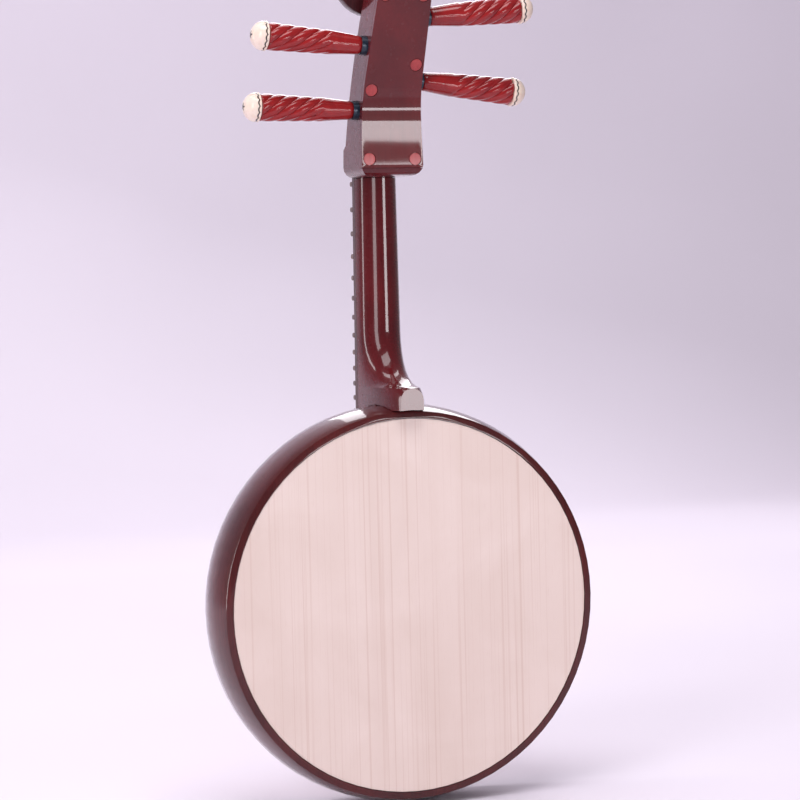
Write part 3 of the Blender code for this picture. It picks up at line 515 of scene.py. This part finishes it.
def mesh_of_rings(name: str, rings: list[list[Vector]]) -> bpy.types.Mesh:
    """Join rings of equal length into a closed mesh.

    Args:
        name: mesh name.
        rings: rings of points, from one end to the other.

    Returns:
        A mesh with caps at both ends.
    """
    shape = bmesh.new()
    rows = [[shape.verts.new(point) for point in ring] for ring in rings]
    count = len(rings[0])
    for low, high in zip(rows, rows[1:]):
        for index in range(count):
            following = (index + 1) % count
            shape.faces.new((low[index], low[following], high[following], high[index]))
    shape.faces.new(rows[0][::-1])
    shape.faces.new(rows[-1])
    bmesh.ops.recalc_face_normals(shape, faces=shape.faces)
    mesh = bpy.data.meshes.new(name)
    shape.to_mesh(mesh)
    shape.free()
    return mesh


def circle(radius: float, height: float, steps: int) -> list[Vector]:
    """Return a ring of points round Z."""
    return [Vector((radius * cos(2 * pi * step / steps), radius * sin(2 * pi * step / steps),
                    height)) for step in range(steps)]


def shade(mesh: bpy.types.Mesh, angle: float) -> None:
    """Shade a mesh smooth, apart from edges sharper than an angle."""
    mesh.shade_smooth()
    mesh.set_sharp_from_angle(angle=angle)


def add_piece(name: str, mesh: bpy.types.Mesh, body: str,
              material: bpy.types.Material, nodes: tuple[str, ...],
              place: Matrix | None = None) -> bpy.types.Object:
    """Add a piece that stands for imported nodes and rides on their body.

    Args:
        name: piece name.
        mesh: its mesh.
        body: the body it rides on.
        material: its material.
        nodes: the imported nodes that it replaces.
        place: where its own frame stands, or None at the frame's origin.

    Returns:
        The piece.
    """
    piece = bpy.data.objects.new(name, mesh)
    bpy.context.scene.collection.objects.link(piece)
    if place is not None:
        piece.matrix_world = place
    mesh.materials.clear()
    mesh.materials.append(material)
    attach(piece, body)
    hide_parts(*nodes)
    return piece


@dataclass(frozen=True)
class Refined:
    """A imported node's own shape, shaded smooth, with eased edges where a width is given."""

    node: str
    finish: Finish
    ease: float = 0.0            # width of the eased edges, 0 leaves them as packed
    smooth_angle: float = radians(38)
    body: str = INSTRUMENT
    crisp_back: bool = False     # faces that look straight back have sharp borders

    def is_sharp(self, edge: bmesh.types.BMEdge) -> bool:
        """Say how an edge is shaded.

        Args:
            edge: an edge of the node's shape.

        Returns:
            Whether the edge is shaded sharp.
        """
        if len(edge.link_faces) != 2:
            return True
        first, second = (face.normal.y > BACKWARD for face in edge.link_faces)
        if self.crisp_back and first != second:
            return True
        return edge.calc_face_angle(0.0) > self.smooth_angle

    def build(self, frame: dict) -> bpy.types.Object:
        """Build the piece that stands for the node.

        Args:
            frame: the loaded frame.

        Returns:
            The piece.
        """
        shape = bmesh.new()
        shape.from_mesh(frame["nodes"][self.node].data)
        bmesh.ops.remove_doubles(shape, verts=shape.verts, dist=WELD)
        bmesh.ops.dissolve_limit(shape, angle_limit=FLAT, verts=shape.verts,
                                 edges=shape.edges)
        for face in shape.faces:
            face.smooth = True
        for edge in shape.edges:
            edge.smooth = not self.is_sharp(edge)
        mesh = bpy.data.meshes.new(f"{self.node}_piece")
        shape.to_mesh(mesh)
        shape.free()
        piece = add_piece(f"{self.node}_piece", mesh, self.body,
                          material_of(self.finish.value), (self.node,))
        if self.ease > 0.0:
            self.ease_edges(piece)
        return piece

    def ease_edges(self, piece: bpy.types.Object) -> None:
        """Round the edges of a piece that are sharper than the smooth angle.

        Args:
            piece: the piece that stands for the node.
        """
        easing = piece.modifiers.new("ease", "BEVEL")
        easing.width = self.ease
        easing.segments = EASE_SEGMENTS
        easing.limit_method = "ANGLE"
        easing.angle_limit = self.smooth_angle
        easing.harden_normals = True


# Sub-assemblies

@dataclass
class Corpus:
    """The round body: hoop, two boards and the bars inside."""

    board_ease: float = 0.0002
    bar_ease: float = 0.0004

    def build(self, frame: dict) -> list[bpy.types.Object]:
        """Build the body's pieces.

        Args:
            frame: the loaded frame.

        Returns:
            The pieces.
        """
        parts = [
            Refined("side_hoop", Finish.hoop_lacquer),
            Refined("soundboard", Finish.board_wood, self.board_ease),
            Refined("back_board", Finish.board_wood, self.board_ease),
            Refined("soundboard_bar_upper", Finish.bar_wood, self.bar_ease),
            Refined("soundboard_bar_lower", Finish.bar_wood, self.bar_ease),
            Refined("back_bar", Finish.bar_wood, self.bar_ease),
        ]
        return [part.build(frame) for part in parts]


@dataclass
class Neck:
    """The neck and heel, the fingerboard, its frets and the nut."""

    frets: int = 24
    neck_smooth_angle: float = radians(42)
    fingerboard_ease: float = 0.0004
    fret_ease: float = 0.0003

    def build(self, frame: dict) -> list[bpy.types.Object]:
        """Build the neck's pieces.

        Args:
            frame: the loaded frame.

        Returns:
            The pieces.
        """
        parts = [
            Refined("neck", Finish.neck_lacquer, smooth_angle=self.neck_smooth_angle,
                    crisp_back=True),
            Refined("fingerboard", Finish.fingerboard_wood, self.fingerboard_ease),
            Refined("nut", Finish.bone),
        ]
        parts += [Refined(f"fret_{number:02d}", Finish.fret_horn, self.fret_ease)
                  for number in range(1, self.frets + 1)]
        return [part.build(frame) for part in parts]


@dataclass
class Head:
    """The headstock with its back cover, flush plugs and the plate at its top."""

    plugs: int = 6
    plug_ease: float = 0.0003

    def build(self, frame: dict) -> list[bpy.types.Object]:
        """Build the head's pieces.

        Args:
            frame: the loaded frame.

        Returns:
            The pieces.
        """
        parts = [
            Refined("headstock", Finish.neck_lacquer),
            Refined("head_cover", Finish.cover_lacquer),
            Refined("head_ornament", Finish.ornament_wood),
        ]
        parts += [Refined(f"cover_plug_{number}", Finish.plug_lacquer, self.plug_ease)
                  for number in range(1, self.plugs + 1)]
        return [part.build(frame) for part in parts]


class Side(Enum):
    """The cheek that a peg enters, and the direction of its outer end along X."""

    LEFT = 1
    RIGHT = -1


@dataclass
class Peg:
    """A tuning peg: shaft, spiral-fluted handle, bone cap, ferrule and wound string."""

    name: str
    side: Side
    z: float                     # where its axis meets the cheek's outer face
    y: float
    tilt: float                  # rise of its outer end, in radians
    roller_x: float              # X at which the string meets the shaft
    gauge: float                 # the string's radius

    # Head
    head_low: tuple[float, float] = (0.300, 0.0437)    # height and width of the head
    head_high: tuple[float, float] = (0.408, 0.0375)
    cheek: float = 0.0088        # thickness of a cheek
    far_depth: float = 0.005     # how far the tip goes into the far cheek

    # Shaft
    shaft_tip: float = 0.0043    # radius at the tip
    shaft_cheek: float = 0.0053  # radius at the near cheek's outer face

    # Handle
    start: float = 0.0043        # handle's start outside the cheek
    start_radius: float = 0.0061
    start_inset: float = 0.0005  # how far the edge of the handle's start is cut back
    start_edge: float = 0.0006   # height of that edge
    edge_growth: float = 0.00005     # about how far the taper has widened there
    plain: float = 0.0206
    plain_steps: int = 8
    shoulder: float = 0.0080     # radius where the flutes start
    fluted: float = 0.0441
    end_radius: float = 0.0094
    flutes: int = 6
    flute_depth: float = 0.00115
    flute_power: float = 0.62    # under 1: full lobes and sharp grooves
    pitch: float = 0.055         # one turn of the spiral
    runout: float = 0.005        # where the grooves reach their full depth
    round_over: float = 0.0009   # rounding at the handle's end
    round_share: float = 0.8     # how much of the rounding goes off the radius
    points: int = 14             # points across one lobe
    rings: int = 64
    handle_crease: float = radians(50)

    # Cap
    gap: float = 0.0003          # between handle and cap
    cap_radius: float = 0.00995
    cap_length: float = 0.0105
    cap_band: float = 0.0016     # height of the part below the dome
    rim_chamfer: float = 0.0004
    rim_top: float = 0.0010      # height of the raised rim
    groove_height: float = 0.0013
    groove_depth: float = 0.0003     # the groove above the rim, from the cap's radius
    dome_inset: float = 0.0002   # the dome is slimmer than the rim by this
    dome_steps: int = 20
    cap_steps: int = 64

    # Winding
    turns: int = 3
    turn_gap: float = 0.0005
    let_in: float = 3.0          # string radius over the height of its middle on the shaft
    winding_steps: int = 32      # rings in one turn
    string_sides: int = 10
    round_crease: float = radians(60)

    ferrule_ease: float = 0.0004

    @property
    def half_head(self) -> float:
        """Half the head's width at the peg."""
        (low_z, low), (high_z, high) = self.head_low, self.head_high
        return (low + (high - low) * (self.z - low_z) / (high_z - low_z)) / 2

    @property
    def place(self) -> Matrix:
        """The peg's own frame: Z along its axis, origin at the cheek."""
        axis = Vector((self.side.value * cos(self.tilt), 0.0, sin(self.tilt)))
        origin = Vector((self.side.value * self.half_head, self.y, self.z))
        return Matrix.Translation(origin) @ axis.to_track_quat("Z", "Y").to_matrix().to_4x4()

    @property
    def shaft_end(self) -> float:
        """Height of the shaft's tip on the peg's axis."""
        return -(2 * self.half_head - self.cheek + self.far_depth) / cos(self.tilt)

    def shaft_radius(self, height: float) -> float:
        """Return the radius of the tapered shaft."""
        share = height / self.shaft_end
        return self.shaft_cheek + (self.shaft_tip - self.shaft_cheek) * share

    def ring(self, height: float, radius: float, twist: float = 0.0,
             depth: float = 0.0) -> list[Vector]:
        """Return one ring: full lobes with sharp grooves, or round where depth is 0.

        Args:
            height: height on the axis.
            radius: radius at the lobes' tops.
            twist: turn of the ring.
            depth: depth of the grooves.

        Returns:
            The ring's points.
        """
        count = self.flutes * self.points
        ring = []
        for index in range(count):
            angle = 2 * pi * index / count
            groove = 1 - abs(sin(self.flutes / 2 * angle)) ** self.flute_power
            r = radius - depth * groove
            ring.append(Vector((r * cos(angle + twist), r * sin(angle + twist), height)))
        return ring

    def shaft_rings(self) -> list[list[Vector]]:
        """Return the rings at the shaft's tip and at the handle's start."""
        return [self.ring(height, self.shaft_radius(height))
                for height in (self.shaft_end, self.start)]

    def plain_rings(self) -> list[list[Vector]]:
        """Work out the plain taper, with a cut-back edge at its start.

        Returns:
            Its rings, outwards.
        """
        rings = [self.ring(self.start, self.start_radius - self.start_inset),
                 self.ring(self.start + self.start_edge,
                           self.start_radius + self.edge_growth)]
        for step in range(1, self.plain_steps + 1):
            share = step / self.plain_steps
            radius = self.start_radius + (self.shoulder - self.start_radius) * share
            rings.append(self.ring(self.start + self.plain * share, radius))
        return rings

    def fluted_rings(self) -> list[list[Vector]]:
        """Work out the spiral flutes, rounded over at the handle's end.

        Returns:
            Their rings, outwards.
        """
        rings = []
        for step in range(1, self.rings):
            share = step / (self.rings - 1)
            offset = self.fluted * share
            radius = self.shoulder + (self.end_radius - self.shoulder) * share
            from_end = self.fluted - offset
            if from_end < self.round_over:
                drop = 1 - from_end / self.round_over
                radius -= self.round_over * self.round_share * drop * drop
            depth = self.flute_depth * min(1.0, offset / self.runout)
            rings.append(self.ring(self.start + self.plain + offset, radius,
                                   -2 * pi * offset / self.pitch, depth))
        return rings

    def winding(self) -> bpy.types.Mesh:
        """Build the string's turns on the shaft.

        Returns:
            The turns as a tube.
        """
        pitch = 2 * self.gauge + self.turn_gap
        start = (self.side.value * self.roller_x - self.half_head) / cos(self.tilt) - pitch
        sides = [2 * pi * index / self.string_sides for index in range(self.string_sides)]
        rings = []
        for step in range(self.turns * self.winding_steps + 1):
            angle = 2 * pi * step / self.winding_steps
            height = start - pitch * step / self.winding_steps
            radius = self.shaft_radius(height) + self.gauge / self.let_in
            out = Vector((cos(angle), sin(angle), 0.0))
            rings.append([out * (radius + self.gauge * cos(side))
                          + Vector((0.0, 0.0, height + self.gauge * sin(side)))
                          for side in sides])
        return mesh_of_rings(f"winding_{self.name}_mesh", rings)

    def cap_rings(self) -> list[list[Vector]]:
        """Work out the domed cap, with a thin raised rim at its base.

        Returns:
            Its rings, outwards.
        """
        base = self.start + self.plain + self.fluted + self.gap
        slim = self.cap_radius - self.dome_inset
        outline = [
            (self.cap_radius - self.rim_chamfer, base),
            (self.cap_radius, base + self.rim_chamfer),
            (self.cap_radius, base + self.rim_top),
            (self.cap_radius - self.groove_depth, base + self.groove_height),
            (slim, base + self.cap_band),
        ]
        dome = self.cap_length - self.cap_band
        for step in range(1, self.dome_steps + 1):
            angle = pi / 2 * (1 - step / (self.dome_steps + 0.5))
            outline.append((slim * sin(angle), base + self.cap_band + dome * cos(angle)))
        return [circle(radius, height, self.cap_steps) for radius, height in outline]

    def build(self, frame: dict) -> list[bpy.types.Object]:
        """Build the peg's pieces, the turning ones on its own body.

        Args:
            frame: the loaded frame.

        Returns:
            The pieces.
        """
        node, body = f"peg_{self.name}", f"peg_{self.name}_body"
        rings = self.shaft_rings() + self.plain_rings() + self.fluted_rings()
        handle = mesh_of_rings(f"{node}_mesh", rings)
        shade(handle, self.handle_crease)
        turns = self.winding()
        shade(turns, self.round_crease)
        cap = mesh_of_rings(f"peg_cap_{self.name}_mesh", self.cap_rings())
        shade(cap, self.round_crease)
        ferrule = Refined(f"peg_ferrule_{self.name}", Finish.ferrule, self.ferrule_ease)
        return [
            add_piece(f"{node}_handle", handle, body,
                      material_of(Finish.peg_lacquer.value), (node,), self.place),
            add_piece(f"winding_{self.name}", turns, body,
                      material_of(Finish.string_steel.value), (node,), self.place),
            add_piece(f"peg_cap_{self.name}_dome", cap, body,
                      material_of(CAP_FINISH), (f"peg_cap_{self.name}",), self.place),
            ferrule.build(frame),
        ]


CAP_FINISH = Bone(
    "peg_cap_bone_finish", (0.86, 0.73, 0.63), (0.78, 0.61, 0.48), roughness=0.25,
    inlay=Inlay(base=Peg.start + Peg.plain + Peg.fluted + Peg.gap))

PEGS = (
    Peg("left_low", Side.LEFT, z=0.3323, y=-0.0300, tilt=radians(1.8), roller_x=0.0070,
        gauge=0.00028),
    Peg("right_low", Side.RIGHT, z=0.352, y=-0.0260, tilt=radians(-5.9), roller_x=-0.0070,
        gauge=0.00048),
    Peg("left_high", Side.LEFT, z=0.3742, y=-0.0135, tilt=radians(4.7), roller_x=0.0030,
        gauge=0.00033),
    Peg("right_high", Side.RIGHT, z=0.3927, y=-0.0070, tilt=radians(5.2), roller_x=-0.0030,
        gauge=0.00040),
)


@dataclass
class Stringing:
    """Strings, floating bridge and tailpiece on the front."""

    strings: int = 4
    string_smooth_angle: float = radians(80)
    bridge_ease: float = 0.0004
    tail_ease: float = 0.0005

    def build(self, frame: dict) -> list[bpy.types.Object]:
        """Build the pieces that carry and make the strings.

        Args:
            frame: the loaded frame.

        Returns:
            The pieces.
        """
        parts = [Refined(f"string_{number}", Finish.string_steel,
                         smooth_angle=self.string_smooth_angle)
                 for number in range(1, self.strings + 1)]
        parts.append(Refined("bridge", Finish.bridge_wood, self.bridge_ease,
                             body="bridge_body"))
        parts.append(Refined("tailpiece", Finish.bridge_wood, self.tail_ease))
        return [part.build(frame) for part in parts]


# Stage, camera and light

LAVENDER = (0.82, 0.765, 0.85)


@dataclass
class Sweep:
    """Pale paper floor, which rises into the backdrop beyond the instrument."""

    floor_z: float = -0.1352     # just under the body's rim
    near: float = 3.0            # the floor's end behind the camera
    wall: float = -2.9           # the backdrop's Y
    top: float = 3.4
    half_width: float = 3.6
    curve: float = 0.9           # radius of the rise
    curve_steps: int = 24
    patches: float = 1.1         # slow change of tone, noise cells per metre
    darker: float = 0.94         # brightness of the darker patches

    def outline(self) -> list[tuple[float, float]]:
        """Work out the sweep's section.

        Returns:
            Its points, each as Y and height above the floor.
        """
        foot = self.wall + self.curve
        line = [(self.near, 0.0), (foot, 0.0)]
        for step in range(1, self.curve_steps + 1):
            angle = pi / 2 * step / self.curve_steps
            line.append((foot - self.curve * sin(angle),
                         self.curve - self.curve * cos(angle)))
        line.append((self.wall, self.top))
        return line

    def paper(self) -> bpy.types.Material:
        """Lay out the nodes of the paper.

        Returns:
            The paper's material.
        """
        paint = Painter("sweep_paper")
        tone = paint.spread(paint.noise(paint.place, self.patches, detail=2.0), low=0.35,
                            high=0.65)
        paint.join(paint.blend(tone, dimmed(LAVENDER, self.darker), LAVENDER),
                   "Base Color")
        paint.set(Roughness=0.9, Specular_IOR_Level=0.2)
        return paint.material

    def build(self) -> None:
        """Build the sweep."""
        shape = bmesh.new()
        rows = [[shape.verts.new((x, y, self.floor_z + z))
                 for x in (-self.half_width, self.half_width)]
                for y, z in self.outline()]
        for first, second in zip(rows, rows[1:]):
            shape.faces.new((first[1], first[0], second[0], second[1]))
        mesh = bpy.data.meshes.new("sweep_mesh")
        shape.to_mesh(mesh)
        shape.free()
        mesh.shade_smooth()
        sweep = bpy.data.objects.new("sweep", mesh)
        bpy.context.scene.collection.objects.link(sweep)
        mesh.materials.append(self.paper())


@dataclass(frozen=True)
class Softbox:
    """A rectangular soft light that faces a point."""

    name: str
    centre: Triple
    target: Triple
    width: float
    height: float
    power: float                 # watts
    colour: Colour = (1.0, 0.97, 1.0)

    def build(self) -> None:
        """Hang the light."""
        lamp = bpy.data.lights.new(self.name, "AREA")
        lamp.shape = "RECTANGLE"
        lamp.size, lamp.size_y = self.width, self.height
        lamp.energy = self.power
        lamp.color = self.colour
        item = bpy.data.objects.new(self.name, lamp)
        bpy.context.scene.collection.objects.link(item)
        item.location = self.centre
        facing = Vector(self.target) - Vector(self.centre)
        item.rotation_euler = facing.to_track_quat("-Z", "Y").to_euler()


SOFTBOXES = (
    Softbox("tall_left", (1.70, 1.42, 0.75), (0.0, 0.0, 0.2), width=0.75, height=1.7,
            power=24.0),
    Softbox("edge_left", (1.9, -0.9, 0.5), (0.0, 0.0, 0.2), width=0.22, height=1.5,
            power=7.0),
    Softbox("head_strip", (-0.42, 1.12, 0.315), (0.0, 0.0, 0.32), width=0.40,
            height=0.075, power=1.3),
    Softbox("heel_strip", (-0.42, 1.12, 0.09), (0.0, 0.0, 0.14), width=0.40,
            height=0.05, power=0.9),
    Softbox("overhead", (0.3, 0.7, 1.9), (0.0, 0.0, 0.1), width=1.5, height=0.9,
            power=23.0),
    Softbox("front_fill", (-0.8, -1.9, 1.5), (0.0, 0.0, 0.1), width=1.2, height=1.2,
            power=17.0),
    Softbox("backdrop_wash", (0.0, -0.9, 2.6), (0.0, -2.9, 0.3), width=3.0, height=0.8,
            power=40.0),
)


@dataclass
class Studio:
    """Plain sweep, soft lights, and the camera at the photograph's place."""

    world_strength: float = 0.27
    # Place, angles and lens are fitted to the photograph.
    camera_place: Triple = (0.60641421, 1.62390987, 0.21602603)
    lens: float = 117.0          # millimetres
    sensor: float = 36.0         # millimetres
    nearest: float = 0.05        # depths that the camera sees
    farthest: float = 50.0
    azimuth: float = radians(159.71)
    elevation: float = radians(2.58)
    roll: float = radians(-1.39)

    def world(self) -> None:
        """Light the scene evenly with a pale lavender surround."""
        world = bpy.data.worlds.new("surround")
        world.use_nodes = True
        background = world.node_tree.nodes["Background"]
        background.inputs["Color"].default_value = (*LAVENDER, 1.0)
        background.inputs["Strength"].default_value = self.world_strength
        bpy.context.scene.world = world

    def camera(self) -> None:
        """Stand the camera where the photograph was taken from."""
        data = bpy.data.cameras.new("camera")
        data.lens = self.lens
        data.sensor_width = self.sensor
        data.clip_start, data.clip_end = self.nearest, self.farthest
        back = Vector((sin(self.azimuth) * cos(self.elevation),
                       -cos(self.azimuth) * cos(self.elevation), sin(self.elevation)))
        level = Vector((cos(self.azimuth), sin(self.azimuth), 0.0))
        upright = back.cross(level)
        right = cos(self.roll) * level + sin(self.roll) * upright
        up = -sin(self.roll) * level + cos(self.roll) * upright
        item = bpy.data.objects.new("camera", data)
        bpy.context.scene.collection.objects.link(item)
        turn = Matrix((right, up, back)).transposed().to_4x4()
        item.matrix_world = Matrix.Translation(Vector(self.camera_place)) @ turn
        bpy.context.scene.camera = item

    def build(self) -> None:
        """Set up everything that isn't the instrument."""
        bpy.context.scene.view_settings.view_transform = "Standard"
        Sweep().build()
        self.world()
        for softbox in SOFTBOXES:
            softbox.build()
        self.camera()


def main() -> None:
    """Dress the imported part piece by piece, then set the stage."""
    logging.basicConfig(level=logging.INFO, format="%(message)s")
    for item in list(bpy.data.objects):
        bpy.data.objects.remove(item, do_unlink=True)
    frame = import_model()
    for assembly in (Corpus(), Neck(), Head(), *PEGS, Stringing()):
        for piece in assembly.build(frame):
            LOG.info("%s: %s, %d faces", type(assembly).__name__, piece.name,
                     len(piece.data.polygons))
    Studio().build()
    bpy.context.view_layer.update()


if __name__ == "__main__":
    main()
